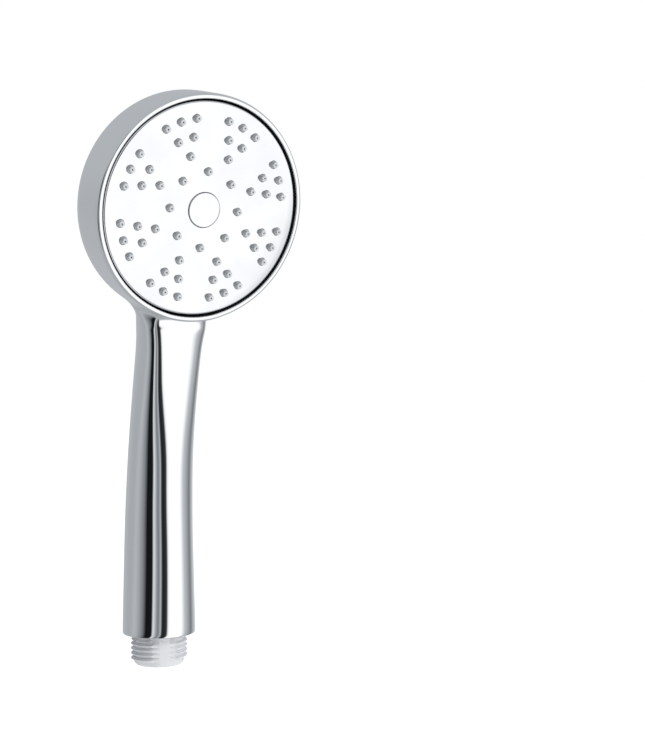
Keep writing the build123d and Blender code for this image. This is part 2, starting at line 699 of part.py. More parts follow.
def connector_snap_ring():
    """Split ring that locks the connector in the handle."""
    top = SNAP_RING_BOTTOM + SNAP_RING_THICKNESS
    whole = ring(SNAP_RING_INNER, SNAP_RING_OUTER, SNAP_RING_BOTTOM, top)
    opening = Pos(0, SNAP_RING_OUTER, SNAP_RING_BOTTOM) * Box(SNAP_RING_OPENING, SNAP_RING_OUTER, 4)
    return whole - opening


def inlet_filter_ring():
    """Plastic ring that holds the filter mesh."""
    body = ring(FILTER_BORE_RADIUS, INSERT_RADIUS, FILTER_BOTTOM, FILTER_TOP)
    gap = FIT / 2
    return body - ring(0, MESH_RADIUS + gap, MESH_BOTTOM - gap, MESH_BOTTOM + MESH_THICKNESS + gap)


def inlet_filter_mesh():
    """Fine square mesh that keeps grit out of the valve."""
    mesh = disc(MESH_RADIUS, MESH_BOTTOM, MESH_BOTTOM + MESH_THICKNESS)
    reach = int(FILTER_BORE_RADIUS / MESH_PITCH)
    middle = MESH_BOTTOM + MESH_THICKNESS / 2
    holes = []
    for column in range(-reach, reach + 1):
        for row in range(-reach, reach + 1):
            place = (column * MESH_PITCH, row * MESH_PITCH)
            if hypot(*place) + MESH_HOLE * 0.71 < FILTER_BORE_RADIUS:
                holes.append(Pos(*place, middle) * Box(MESH_HOLE, MESH_HOLE, 1))
    return mesh - holes


def check_valve_body():
    """Valve cartridge: a seat at the bottom and a bore for the poppet."""
    body = ring(VALVE_BORE_RADIUS, INSERT_RADIUS, VALVE_BOTTOM, VALVE_TOP)
    body += ring(SEAT_BORE_RADIUS, VALVE_BORE_RADIUS + FIT, VALVE_BOTTOM, SEAT_TOP)
    bottom = VALVE_GROOVE_MIDDLE - VALVE_GROOVE_WIDTH / 2
    body -= ring(VALVE_GROOVE_RADIUS, INSERT_RADIUS + 1, bottom, bottom + VALVE_GROOVE_WIDTH)
    ledge = RETAINER_BOTTOM - FIT
    return body - ring(0, VALVE_BORE_RADIUS + 0.3, ledge, VALVE_TOP + 1)


def check_valve_o_ring():
    """Rubber ring between the valve cartridge and the inlet bore."""
    section = (INLET_BORE_RADIUS - VALVE_GROOVE_RADIUS) / 2 - FIT / 2
    return o_ring(VALVE_GROOVE_RADIUS + section, section, VALVE_GROOVE_MIDDLE)


def check_valve_poppet():
    """Valve disc and stem; it lifts off its seat when water flows in."""
    poppet = turned(
        (0, POPPET_BOTTOM - 0.8),
        (POPPET_SEAL_INNER - 0.9, POPPET_BOTTOM - 0.8),
        (POPPET_SEAL_INNER - FIT, POPPET_BOTTOM),
        (POPPET_RADIUS, POPPET_BOTTOM),
        (POPPET_RADIUS, POPPET_TOP - 0.3),
        (POPPET_RADIUS - 0.3, POPPET_TOP),
        (STEM_RADIUS, POPPET_TOP),
        (STEM_RADIUS, STEM_TOP - 0.3),
        (STEM_RADIUS - 0.3, STEM_TOP),
        (0, STEM_TOP),
    )
    return poppet


def check_valve_poppet_seal():
    """Rubber washer on the underside of the poppet."""
    return ring(POPPET_SEAL_INNER, POPPET_SEAL_OUTER, POPPET_SEAL_BOTTOM, POPPET_BOTTOM - FIT / 2)


def check_valve_spring():
    """Coil spring that pushes the poppet down onto its seat."""
    bottom = POPPET_TOP + SPRING_WIRE_RADIUS + FIT
    rise = RETAINER_BOTTOM - SPRING_WIRE_RADIUS - FIT - bottom
    coil = Helix(rise / SPRING_TURNS, rise, SPRING_RADIUS)
    wire = Plane(origin=coil @ 0, z_dir=coil % 0) * Circle(SPRING_WIRE_RADIUS)
    return Pos(0, 0, bottom) * sweep(wire, path=coil, is_frenet=True)


def arms(inner, outer, width, bottom, top):
    """Evenly spaced radial arms about Z."""
    length = outer - inner
    arm = Pos((outer + inner) / 2, 0, (bottom + top) / 2) * Box(length, width, top - bottom)
    return [Rot(0, 0, index * 360 / WEBS) * arm for index in range(WEBS)]


def check_valve_retainer():
    """Snapped-in spider that guides the stem and backs the spring."""
    top = VALVE_TOP - 0.1
    outer = VALVE_BORE_RADIUS + 0.3 - FIT
    retainer = ring(RETAINER_RIM_INNER, outer, RETAINER_BOTTOM, top)
    retainer += ring(STEM_RADIUS + STEM_FIT, RETAINER_HUB_RADIUS, RETAINER_BOTTOM, top)
    return retainer + arms(RETAINER_HUB_RADIUS - 0.2, RETAINER_RIM_INNER + 0.2, 1.2, RETAINER_BOTTOM, top)


def flow_regulator_body():
    """Cage of the flow regulator: a toothed core inside a ring, on three arms."""
    floor_top = REGULATOR_BOTTOM + REGULATOR_FLOOR_THICKNESS
    body = ring(REGULATOR_RING_BORE, INSERT_RADIUS, REGULATOR_BOTTOM, REGULATOR_TOP)
    body += disc(REGULATOR_CORE_RADIUS, REGULATOR_BOTTOM, REGULATOR_TOP)
    body += arms(REGULATOR_CORE_RADIUS - 0.2, REGULATOR_RING_BORE + 0.2, 1.4, REGULATOR_BOTTOM, floor_top)
    return body


def flow_regulator_o_ring():
    """Soft ring that closes round the core as the pressure rises."""
    floor_top = REGULATOR_BOTTOM + REGULATOR_FLOOR_THICKNESS
    middle = REGULATOR_CORE_RADIUS + REGULATOR_RING_SECTION + GAP
    return o_ring(middle, REGULATOR_RING_SECTION, floor_top + REGULATOR_RING_SECTION + FIT)


SUB_PARTS = {
    "body_shell": body_shell,
    "face_plate": face_plate,
    "nozzle_mat": nozzle_mat,
    "nozzle_backing_plate": nozzle_backing_plate,
    "chamber_cover": chamber_cover,
    "chamber_seal": chamber_seal,
    "chamber_screws": chamber_screws,
    "centre_screw": centre_screw,
    "centre_screw_seal": centre_screw_seal,
    "centre_cap": centre_cap,
    "handle_tube": handle_tube,
    "tube_upper_o_rings": lambda: spigot_o_rings(at_top=True),
    "tube_lower_o_rings": lambda: spigot_o_rings(at_top=False),
    "inlet_connector": inlet_connector,
    "connector_o_ring": connector_o_ring,
    "connector_snap_ring": connector_snap_ring,
    "inlet_filter_ring": inlet_filter_ring,
    "inlet_filter_mesh": inlet_filter_mesh,
    "check_valve_body": check_valve_body,
    "check_valve_o_ring": check_valve_o_ring,
    "check_valve_poppet": check_valve_poppet,
    "check_valve_poppet_seal": check_valve_poppet_seal,
    "check_valve_spring": check_valve_spring,
    "check_valve_retainer": check_valve_retainer,
    "flow_regulator_body": flow_regulator_body,
    "flow_regulator_o_ring": flow_regulator_o_ring,
}

os.makedirs("parts", exist_ok=True)
for name, make in SUB_PARTS.items():
    export_step(make(), f"parts/{name}.step")
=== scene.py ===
"""Hand shower: a chromed head and handle, soft spray nozzles and a threaded white inlet.

Sizes are millimetres where a name or a table says so, and metres everywhere else.
"""

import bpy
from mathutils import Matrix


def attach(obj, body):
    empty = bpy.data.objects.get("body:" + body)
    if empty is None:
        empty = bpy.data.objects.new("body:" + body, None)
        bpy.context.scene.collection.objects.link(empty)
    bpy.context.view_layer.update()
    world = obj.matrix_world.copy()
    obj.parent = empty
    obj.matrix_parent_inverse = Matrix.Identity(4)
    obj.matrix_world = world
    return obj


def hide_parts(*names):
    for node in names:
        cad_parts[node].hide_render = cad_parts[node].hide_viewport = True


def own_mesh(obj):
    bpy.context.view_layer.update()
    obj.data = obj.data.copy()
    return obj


bl_info = {
    "name": "Hand Shower Builder",
    "version": (1, 0, 0),
    "blender": (4, 5, 0),
    "location": "3D View > Sidebar > Hand Shower",
    "description": "Builds a hand shower's shell, finishes and studio around its packed parts",
    "category": "Add Mesh",
}

from math import atan2, copysign, cos, hypot, pi, radians, sin, tan

import bmesh
import bpy
from bpy.props import FloatProperty, FloatVectorProperty, PointerProperty
from mathutils import Matrix, Vector

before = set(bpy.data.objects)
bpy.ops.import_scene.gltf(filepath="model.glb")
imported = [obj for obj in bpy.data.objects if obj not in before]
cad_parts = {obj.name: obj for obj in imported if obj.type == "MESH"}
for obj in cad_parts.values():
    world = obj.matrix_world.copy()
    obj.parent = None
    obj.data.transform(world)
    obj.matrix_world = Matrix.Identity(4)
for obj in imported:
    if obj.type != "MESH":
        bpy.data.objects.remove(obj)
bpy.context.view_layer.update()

MM = 0.001
HANDSET = "handset"

# ---------------------------------------------------------------- body outlines
# Radius and depth behind the spray face, in millimetres, from the middle of the
# back, over the back edge and the rim, into the recess, to the screw post.
BACK_OUTLINE = (
    (0, 25.8),
    (6, 25.68),
    (12, 25.34),
    (18, 24.76),
    (24, 23.94),
    (30, 22.88),
    (35.4, 21.7),
    (38.3, 20.9),
    (40.1, 19.4),
    (40.72, 17.2),
    (40.78, 14.0),
    (40.84, 10.2),
    (40.88, 6.6),
    (40.9, 3.0),
    (40.9, 1.7),
    (40.8, 1.1),
    (40.52, 0.66),
    (40.2, 0.44),
    (39.9, 0.4),
)
RIM_OUTLINE = (
    (39.45, 0.4),
    (39.12, 0.43),
    (38.94, 0.55),
    (38.9, 0.85),
    (38.9, 3.5),
    (38.9, 6.8),
)
RECESS_OUTLINE = (
    (38.75, 7.0),
    (38.3, 7.0),
    (38.2, 7.15),
    (38.2, 8.2),
    (38.2, 12.8),
    (38.1, 17.2),
    (36.5, 18.3),
    (31, 19.65),
    (20, 21.75),
    (10, 22.9),
    (5.4, 23.15),
    (4.85, 22.7),
    (4.8, 18.0),
    (4.8, 12.9),
    (4.6, 12.45),
    (3.8, 12.42),
    (0, 12.42),
)
# Spray plate: its cup from the middle, its domed front, round edge and back.
PLATE_RADIUS = 38.3
PLATE_CROWN_RADIUS = 600.0
PLATE_EDGE_ROUND = 1.0
PLATE_EDGE_STEPS = 8
PLATE_EDGE_START = 4
CUP_OUTLINE = ((0, 4.4), (6.35, 4.4), (6.35, 0.2), (6.42, 0.07))
PLATE_FRONT_RADII = (6.6, 12, 18, 24, 30, 35)
PLATE_BACK_OUTLINE = ((38.3, 6.9), (36.6, 6.9), (36.6, 2.8), (7.4, 2.8), (7.4, 5.6), (0, 5.6))
PLATE_STEPS = 128
# Centre cap, slightly bowed and proud of the plate; a depth below zero is in front of it.
CAP_OUTLINE = (
    (0, -0.45),
    (2, -0.435),
    (4, -0.39),
    (5.5, -0.335),
    (5.95, -0.31),
    (6.09, -0.27),
    (6.17, -0.18),
    (6.2, -0.05),
    (6.2, 3.6),
    (5.0, 3.6),
    (5.0, 0.9),
    (0, 0.9),
)
CAP_STEPS = 64
MAT_OUTLINE = ((7.55, 2.85), (36.4, 2.85), (36.4, 4.05), (7.55, 4.05), (7.55, 2.85))
MAT_STEPS = 64
# Nozzles: eight clusters of three rows, and one more ring nearer the middle.
CLUSTERS = 8
CLUSTER_ROWS = 3
ROW_SPACING = 6.2
INNER_RING_RADIUS = 13.6
NOZZLE_HOLE_RADIUS = 1.56
# Nozzle, from its orifice over its rounded tip to its foot: radius, height above the face.
NOZZLE_OUTLINE = (
    (0, 0.6),
    (0.3, 0.6),
    (0.3, 1.68),
    (0.36, 1.75),
    (0.78, 1.74),
    (0.94, 1.7),
    (1.06, 1.6),
    (1.12, 1.45),
    (1.17, 1.2),
    (1.26, 0.8),
    (1.46, -0.1),
    (1.46, -3.0),
    (0, -3.0),
)
NOZZLE_STEPS = 20
HOLE_SIDES = 24
HOLE_CUTTER_LENGTH = 9.0
HEAD_STEPS = 48
# The head's walls follow a shallow dome: its fall from the middle to the pocket's radius.
POCKET_RADIUS = 38.2
DOME_DROP = 5.0
MIDDLE_WALL_DEPTH = 24.6
MIDDLE_WALL_RADIUS = 39.5
# Neck openings: half angle in degrees, least radius and least depth.
OUTER_OPENING = (30.5, 24.0, 6.6)
INNER_OPENING = (15.5, 31.0, 8.2)
OPENING_BACK_DEPTH = 19.4
OUTER_SEAM_DEPTH = 24
INNER_SEAM_DEPTH = 20
OUTER_RING = 32
INNER_RING = 16

# Handle end, from the top of its bore round its lower edge: height, radius.
HANDLE_END = (
    (23.6, 11.2),
    (18.0, 11.2),
    (12.1, 11.2),
    (11.7, 11.26),
    (11.6, 11.5),
    (11.6, 12.9),
    (11.62, 13.4),
    (11.75, 13.62),
    (12.0, 13.67),
    (12.8, 13.68),
)
# Neck: height across the face, half width, depth of its front and of its back.
NECK = (
    (-50.0, 11.9, 6.4, 28.05),
    (-46.0, 12.6, 6.5, 28.2),
)
NECK_SQUARENESS = 3.4
SQUARE_LENGTH = 38.0
BLEND_RINGS = 4
# The neck's opening narrows from its full width at the back edge to this share at the front.
FRONT_SHARE = 0.5
HANDLE_RINGS = 9
HANDLE_FIRST_GAP = 4.0
HANDLE_LAST_GAP = 6.0
HANDLE_TAPER = 1.2
HOLLOW_RINGS = 6
HOLLOW_START_RADIUS = 10.8

# Painted shade inside the head, near black where the chrome recess and inner dome fall into shade:
# radius, depths from the rim inwards, and its dome's depth.
PAINTED_SHADE_RADIUS = 39
PAINTED_SHADE_FRONT = 0.85
PAINTED_SHADE_BACK = 23.9
PAINTED_SHADE_DOME_DEPTH = 24.4
PAINTED_SHADE_COLOUR = (0.009, 0.009, 0.010)
PAINTED_SHADE_PALER = (0.014, 0.014, 0.015)
# Share of the spray plate's colour that its bluish patches keep; the patches fall at random,
# partly the plating's own tone and partly painted reflection.
PLATE_TONE_AND_REFLECTION = (0.87, 0.885, 0.93)
NOISE_DETAIL = 3.0
NOISE_ROUGHNESS = 0.55
CONTRAST_GAIN = 4.0

MERGE_DISTANCE = 1e-6
FINE_MERGE_DISTANCE = 1e-7

# ---------------------------------------------------------------- studio
# Brightness of the surroundings that the chrome mirrors, all the way round the
# object, in degrees to the right of the camera: a grey wall on the left, two
# narrow black flags, a strip light between them and a wide soft light.
STUDIO_RING = (
    (-146, 0.49),
    (-120, 0.435),
    (-102, 0.435),
    (-84, 0.5),
    (-72, 0.42),
    (-56, 0.24),
    (-47, 0.08),
    (-43, 0.008),
    (-24, 0.01),
    (-19, 0.8),
    (-13, 0.5),
    (-5, 0.21),
    (0, 0.3),
    (4, 0.5),
    (8, 0.05),
    (12, 0.015),
    (21, 0.03),
    (24, 0.07),
    (29, 0.95),
    (36, 1.12),
    (75, 1.12),
    (84, 0.8),
    (90, 0.58),
    (104, 0.42),
    (122, 0.21),
    (132, 0.35),
    (150, 0.62),
    (168, 0.62),
    (180, 0.5),
    (214, 0.49),
)
# How blue the greys are; white has no tint.
GREY_TINT = 0.07
# The flags lean: heights of the reflected direction, and their turns there in degrees.
LEAN_HEIGHTS = (-0.3, -0.1)
LEAN_TURNS = (3, -10)
# Heights between which the surroundings fade to a plain grey, below and above.
DOWN_FADE = (-0.5, -0.8)
DOWN_GREY = (0.42, 0.43, 0.44, 1)
UP_FADE = (0.04, 0.38)
UP_GREY = (0.47, 0.49, 0.51, 1)
KEY_ENERGY = 5.5
KEY_SIZE = 0.5
KEY_PLACE = (0.45, -0.75, 0.45)
KEY_AIM = (0, 0, 0.08)
CAMERA_PLACE = (-0.2442, -0.4738, 0.1188)
CAMERA_FORWARD = (0.558, 0.830, -0.018)
CAMERA_LEAN = 0.1
CAMERA_LENS = 68.3
CAMERA_TURN = -33.9
CAMERA_SENSOR = 36
FLOOR_DROP = 0.12
FLOOR_SIZE = 6
FLOOR_COLOUR = (0.93, 0.93, 0.93, 1)
FLOOR_ROUGHNESS = 0.8
FLOOR_GLOW = 0.62


class HandShowerSizes(bpy.types.PropertyGroup):
    """Sizes that the visible shell is made from."""

    face_tilt: FloatProperty(
        name="Face tilt",
        description="Angle that the spray face looks down",
        default=radians(13.5),
        subtype="ANGLE",
    )
    face_height: FloatProperty(
        name="Face height",
        description="Centre of the spray face above the inlet's end",
        default=0.1671,
        unit="LENGTH",
    )
    face_reach: FloatProperty(
        name="Face reach",
        description="Centre of the spray face ahead of the inlet's axis",
        default=0.0359,
        unit="LENGTH",
    )
    axis_depth: FloatProperty(
        name="Axis depth",
        description="Depth of the handle's axis behind the spray face",
        default=0.01635,
        unit="LENGTH",
    )
    bend_radius: FloatProperty(
        name="Bend radius",
        description="Radius of the handle's slight bend",
        default=0.38,
        unit="LENGTH",
    )
    end_radius: FloatProperty(
        name="End radius",
        description="Radius of the handle at its lower end",
        default=0.0137,
        unit="LENGTH",
    )
    waist_radius: FloatProperty(
        name="Waist radius",
        description="Radius of the handle where it is slimmest",
        default=0.0116,
        unit="LENGTH",
    )
    waist_length: FloatProperty(
        name="Waist length",
        description="Length along the handle's axis from the inlet's end to the waist",
        default=0.112,
        unit="LENGTH",
    )
    wall: FloatProperty(
        name="Wall",
        description="Wall thickness of the handle",
        default=0.0025,
        unit="LENGTH",
    )


class HandShowerColours(bpy.types.PropertyGroup):
    """Colours of the finishes."""

    chrome: FloatVectorProperty(
        name="Chrome",
        description="Colour of the plated body",
        default=(0.90, 0.915, 0.93),
        subtype="COLOR",
        size=3,
        min=0,
        max=1,
    )
    face: FloatVectorProperty(
        name="Spray face",
        description="Colour of the plated spray plate and its centre cap",
        default=(0.95, 0.95, 0.95),
        subtype="COLOR",
        size=3,
        min=0,
        max=1,
    )
    silicone: FloatVectorProperty(
        name="Silicone",
        description="Colour of the soft nozzles",
        default=(0.44, 0.45, 0.46),
        subtype="COLOR",
        size=3,
        min=0,
        max=1,
    )
    white_plastic: FloatVectorProperty(
        name="White plastic",
        description="Colour of the inlet",
        default=(0.62, 0.62, 0.64),
        subtype="COLOR",
        size=3,
        min=0,
        max=1,
    )
    inner_plastic: FloatVectorProperty(
        name="Natural plastic",
        description="Colour of the unplated mouldings inside",
        default=(0.68, 0.69, 0.66),
        subtype="COLOR",
        size=3,
        min=0,
        max=1,
    )
    valve_plastic: FloatVectorProperty(
        name="Valve plastic",
        description="Colour of the check valve's mouldings",
        default=(0.05, 0.12, 0.30),
        subtype="COLOR",
        size=3,
        min=0,
        max=1,
    )
    regulator_plastic: FloatVectorProperty(
        name="Regulator plastic",
        description="Colour of the flow regulator",
        default=(0.06, 0.24, 0.10),
        subtype="COLOR",
        size=3,
        min=0,
        max=1,
    )
    rubber: FloatVectorProperty(
        name="Seal rubber",
        description="Colour of the rubber seals",
        default=(0.02, 0.02, 0.02),
        subtype="COLOR",
        size=3,
        min=0,
        max=1,
    )
    steel: FloatVectorProperty(
        name="Steel",
        description="Colour of the stainless parts",
        default=(0.60, 0.59, 0.57),
        subtype="COLOR",
        size=3,
        min=0,
        max=1,
    )


# ---------------------------------------------------------------- places
def face_frame(sizes):
    """Frame of the spray face: X to the right, Y up the face, Z out of it."""
    place = Matrix.Translation((0, -sizes.face_reach, sizes.face_height))
    return place @ Matrix.Rotation(pi / 2 + sizes.face_tilt, 4, "X")


def bend_lengths(sizes):
    """Lengths along the handle's axis where its bend starts and ends.

    The third value is how high up the face the bend's end lies.
    """
    at_face = face_frame(sizes) @ Vector((0, 0, -sizes.axis_depth))
    corner = at_face.z + at_face.y / tan(sizes.face_tilt)
    tangent = sizes.bend_radius * tan(sizes.face_tilt / 2)
    start = corner - tangent
    end = start + sizes.bend_radius * sizes.face_tilt
    return start, end, tangent - hypot(at_face.y, at_face.z - corner)


def axis_frame(sizes, length):
    """Frame square to the handle's axis at a length along it, with Y towards the back."""
    start, end, _ = bend_lengths(sizes)
    turn = min(max(length - start, 0) / sizes.bend_radius, sizes.face_tilt)
    beyond = max(length - end, 0)
    back = -sizes.bend_radius * (1 - cos(turn)) - beyond * sin(turn)
    rise = min(length, start) + sizes.bend_radius * sin(turn) + beyond * cos(turn)
    return Matrix.Translation((0, back, rise)) @ Matrix.Rotation(turn, 4, "X")


def handle_radius(sizes, length):
    """Outer radius of the handle, which narrows from its end to the waist."""
    end = HANDLE_END[-1][0] * MM
    left = max((sizes.waist_length - length) / (sizes.waist_length - end), 0)
    return sizes.waist_radius + (sizes.end_radius - sizes.waist_radius) * left**HANDLE_TAPER


# ---------------------------------------------------------------- mesh helpers
def place_ring(ring, turn_frame, half_width, back, front=None, squareness=2.0):
    """Moves a ring's vertices on to an oval, starting at the back and going to the right.

    back and front are how far it reaches each way from the axis. A squareness above 2
    flattens the front half and tightens its corners.
    """
    for index, vert in enumerate(ring):
        angle = 2 * pi * index / len(ring)
        across, deep = sin(angle), cos(angle)
        reach = back
        if deep < 0:
            across = copysign(abs(across) ** (2 / squareness), across)
            deep = -(abs(deep) ** (2 / squareness))
            reach = back if front is None else front
        vert.co = turn_frame @ Vector((half_width * across, reach * deep, 0))


def ring_edges(ring):
    """Edges between each vertex of a ring and the next."""
    edges = []
    for index, vert in enumerate(ring):
        following = ring[(index + 1) % len(ring)]
        edges.append(next(e for e in vert.link_edges if e.other_vert(vert) == following))
    return edges


def extrude_ring(bm, ring):
    """Extrudes a ring and returns the new one in the same order."""
    made = bmesh.ops.extrude_edge_only(bm, edges=ring_edges(ring))
    fresh = {item for item in made["geom"] if isinstance(item, bmesh.types.BMVert)}
    following = []
    for vert in ring:
        others = (edge.other_vert(vert) for edge in vert.link_edges)
        following.append(next(other for other in others if other in fresh))
    return following


def new_ring(bm, count):
    """Circle of vertices in order, to be placed."""
    made = bmesh.ops.create_circle(bm, segments=count, radius=1)
    loose = list(made["verts"])
    ring = [loose[0]]
    while len(ring) < count:
        near = (edge.other_vert(ring[-1]) for edge in ring[-1].link_edges)
        ring.append(next(vert for vert in near if vert not in ring))
    return ring


def open_loop(bm, faces, first, to_right):
    """Deletes faces and returns the hole's vertices in order, from the one nearest first."""
    around = {vert for face in faces for vert in face.verts}
    bmesh.ops.delete(bm, geom=faces, context="FACES")
    border = {vert for vert in around if vert.is_valid and vert.is_boundary}
    start = min(border, key=lambda vert: (vert.co - first).length)
    ring = [start]
    while len(ring) < len(border):
        near = [
            edge.other_vert(ring[-1])
            for edge in ring[-1].link_edges
            if edge.is_boundary and edge.other_vert(ring[-1]) not in ring
        ]
        ring.append(max(near, key=lambda vert: (vert.co - first).dot(to_right)))
    return ring


def blend_to_hole(bm, ring, hole, along, reach, landing):
    """Carries a ring on to a hole's edge in smooth steps and joins it there.

    along is the ring's direction, reach the pull away from the ring and landing
    the pull along the surface round the hole, as shares of the distance.
    """
    for vert in hole:
        vert.normal_update()
    centre = sum((vert.co for vert in hole), Vector()) / len(hole)
    spans = []
    for vert, target in zip(ring, hole):
        gap = (target.co - vert.co).length
        away = target.co - centre
        away -= away.dot(target.normal) * target.normal
        leave = along * gap * reach
        arrive = away.normalized() * gap * landing
        spans.append((vert.co.copy(), leave, target.co.copy(), arrive))
    for step in range(1, BLEND_RINGS + 1):
        ring = extrude_ring(bm, ring)
        t = step / (BLEND_RINGS + 1)
        for vert, (start, leave, end, arrive) in zip(ring, spans):
            vert.co = (
                (2 * t**3 - 3 * t**2 + 1) * start
                + (t**3 - 2 * t**2 + t) * leave
                + (3 * t**2 - 2 * t**3) * end
                + (t**3 - t**2) * arrive
            )
    ring = extrude_ring(bm, ring)
    bmesh.ops.weld_verts(bm, targetmap=dict(zip(ring, hole)))


def dome_depth(middle_depth, radius):
    """Depth of a dome inside the head at a radius, from its depth in the middle."""
    return middle_depth - DOME_DROP * (radius / POCKET_RADIUS) ** 2


def head_faces(bm, frame_inverse, opening, outer):
    """Faces of the head's outer or inner wall that the neck runs through."""
    half_angle, top_radius, front_depth = opening
    found = []
    for face in bm.faces:
        place = frame_inverse @ face.calc_center_median() / MM
        radius = hypot(place.x, place.y)
        depth = -place.z
        if abs(atan2(place.x, -place.y)) > radians(half_angle) or depth < front_depth:
            continue
        middle_wall = dome_depth(MIDDLE_WALL_DEPTH, radius)
        is_outer = radius > MIDDLE_WALL_RADIUS or depth > middle_wall
        if radius > top_radius and is_outer == outer:
            found.append(face)
    return found


def finish_mesh(bm, name, material, levels):
    """Object for a finished bmesh, with its normals outwards and its subdivision live."""
    bmesh.ops.remove_doubles(bm, verts=bm.verts, dist=FINE_MERGE_DISTANCE)
    bmesh.ops.recalc_face_normals(bm, faces=bm.faces)
    mesh = bpy.data.meshes.new(name)
    bm.to_mesh(mesh)
    bm.free()
    mesh.shade_smooth()
    mesh.materials.append(material)
    piece = bpy.data.objects.new(name, mesh)
    bpy.context.scene.collection.objects.link(piece)
    if levels:
        smooth = piece.modifiers.new("smooth skin", "SUBSURF")
        smooth.levels = levels
        smooth.render_levels = levels
    return piece


def turn_outline(bm, sizes, outline, steps):
    """Turns an outline of radius and depth about the spray face's axis into a closed skin."""
    place = face_frame(sizes)
    # the outline is drawn at the bottom of the face, so that the neck's opening is centred
    start = Matrix.Rotation(-pi / 2, 4, "Z")
    points = [Vector((radius * MM, 0, -depth * MM)) for radius, depth in outline]
    verts = [bm.verts.new(place @ start @ point) for point in points]
    edges = [bm.edges.new(pair) for pair in zip(verts, verts[1:])]
    bmesh.ops.spin(
        bm,
        geom=verts + edges,
        cent=place.translation,
        axis=place.to_3x3() @ Vector((0, 0, 1)),
        angle=2 * pi,
        steps=steps,
        use_merge=True,
        use_duplicate=False,
    )
    bmesh.ops.remove_doubles(bm, verts=bm.verts, dist=MERGE_DISTANCE)
    bmesh.ops.recalc_face_normals(bm, faces=bm.faces)


def crown_depth(radius):
    """Depth of the slightly domed spray face at a radius, in millimetres."""
    return radius**2 / (2 * PLATE_CROWN_RADIUS)


def plate_outline():
    """Outline of the spray plate: cup, domed front, round edge and back."""
    front = tuple((radius, crown_depth(radius)) for radius in PLATE_FRONT_RADII)
    centre = PLATE_RADIUS - PLATE_EDGE_ROUND
    edge = []
    for step in range(PLATE_EDGE_STEPS + 1):
        turn = radians(PLATE_EDGE_START + (90 - PLATE_EDGE_START) * step / PLATE_EDGE_STEPS)
        depth = crown_depth(centre) + PLATE_EDGE_ROUND * (1 - cos(turn))
        edge.append((centre + PLATE_EDGE_ROUND * sin(turn), depth))
    return CUP_OUTLINE + front + tuple(edge) + PLATE_BACK_OUTLINE


def build_nozzles(bm, sizes):
    """Adds the mat and a turned nozzle at every place on it."""
    turn_outline(bm, sizes, MAT_OUTLINE, MAT_STEPS)
    place = face_frame(sizes)
    axis = place.to_3x3() @ Vector((0, 0, 1))
    for radius, angle in nozzle_places():
        foot = Vector((radius * cos(angle), radius * sin(angle), -crown_depth(radius)))
        points = [foot + Vector((reach, 0, height)) for reach, height in NOZZLE_OUTLINE]
        verts = [bm.verts.new(place @ (point * MM)) for point in points]
        edges = [bm.edges.new(pair) for pair in zip(verts, verts[1:])]
        bmesh.ops.spin(
            bm,
            geom=verts + edges,
            cent=place @ (foot * MM),
            axis=axis,
            angle=2 * pi,
            steps=NOZZLE_STEPS,
            use_merge=True,
            use_duplicate=False,
        )


def nozzle_places():
    """Radius and angle of every nozzle: one, two and three in a cluster, and the inner ring's."""
    places = []
    for cluster in range(CLUSTERS):
        middle = 2 * pi * (cluster + 0.5) / CLUSTERS
        for row in range(CLUSTER_ROWS):
            radius = INNER_RING_RADIUS + (row + 1) * ROW_SPACING
            for seat in range(row + 1):
                places.append((radius, middle + (seat - row / 2) * ROW_SPACING / radius))
        places.append((INNER_RING_RADIUS, 2 * pi * cluster / CLUSTERS))
    return places


def cut_nozzle_holes(piece, sizes):
    """Cuts a round hole through the plate for each nozzle."""
    bm = bmesh.new()
    place = face_frame(sizes)
    for radius, angle in nozzle_places():
        spot = Matrix.Translation((radius * MM * cos(angle), radius * MM * sin(angle), 0))
        bmesh.ops.create_cone(
            bm,
            cap_ends=True,
            segments=HOLE_SIDES,
            radius1=NOZZLE_HOLE_RADIUS * MM,
            radius2=NOZZLE_HOLE_RADIUS * MM,
            depth=HOLE_CUTTER_LENGTH * MM,
            matrix=place @ spot,
        )
    cutter = finish_mesh(bm, "nozzle_hole_cutter", piece.data.materials[0], 0)
    cut = piece.modifiers.new("nozzle holes", "BOOLEAN")
    cut.operation = "DIFFERENCE"
    cut.solver = "EXACT"
    cut.object = cutter
    bpy.context.view_layer.update()
    evaluated = piece.evaluated_get(bpy.context.evaluated_depsgraph_get())
    mesh = bpy.data.meshes.new_from_object(evaluated)
    piece.modifiers.clear()
    piece.data = mesh
    bpy.data.objects.remove(cutter)


def crisp_copy(name, new_name, material, angle):
    """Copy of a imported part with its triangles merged, smooth but crisp at its edges."""
    bm = bmesh.new()
    bm.from_mesh(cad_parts[name].data)
    bmesh.ops.remove_doubles(bm, verts=bm.verts, dist=MERGE_DISTANCE)
    piece = finish_mesh(bm, new_name, material, 0)
    piece.data.set_sharp_from_angle(angle=radians(angle))
    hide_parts(name)
    return piece


def build_valve_spring(material):
    """Valve spring, a crisp copy of the imported one, on the handset with a mesh of its own."""
    spring = crisp_copy("check_valve_spring", "valve_spring", material, angle=60)
    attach(spring, HANDSET)
    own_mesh(spring)


def narrow_opening(bm, sizes):
    """Slides the head's points round its axis, so that the neck's opening narrows to the front."""
    place = face_frame(sizes)
    front = OUTER_OPENING[2]
    back = OPENING_BACK_DEPTH
    limit = radians(OUTER_OPENING[0])
    for vert in bm.verts:
        local = place.inverted() @ vert.co
        angle = atan2(local.x, -local.y)
        if abs(angle) > pi / 2:
            continue
        along = min(max((-local.z / MM - front) / (back - front), 0), 1)
        share = FRONT_SHARE + (1 - FRONT_SHARE) * along
        if abs(angle) <= limit:
            slid = angle * share
        else:
            rest = (abs(angle) - limit) / (pi / 2 - limit)
            slid = copysign(limit * share + rest * (pi / 2 - limit * share), angle)
        vert.co = place @ (Matrix.Rotation(slid - angle, 4, "Z") @ local)


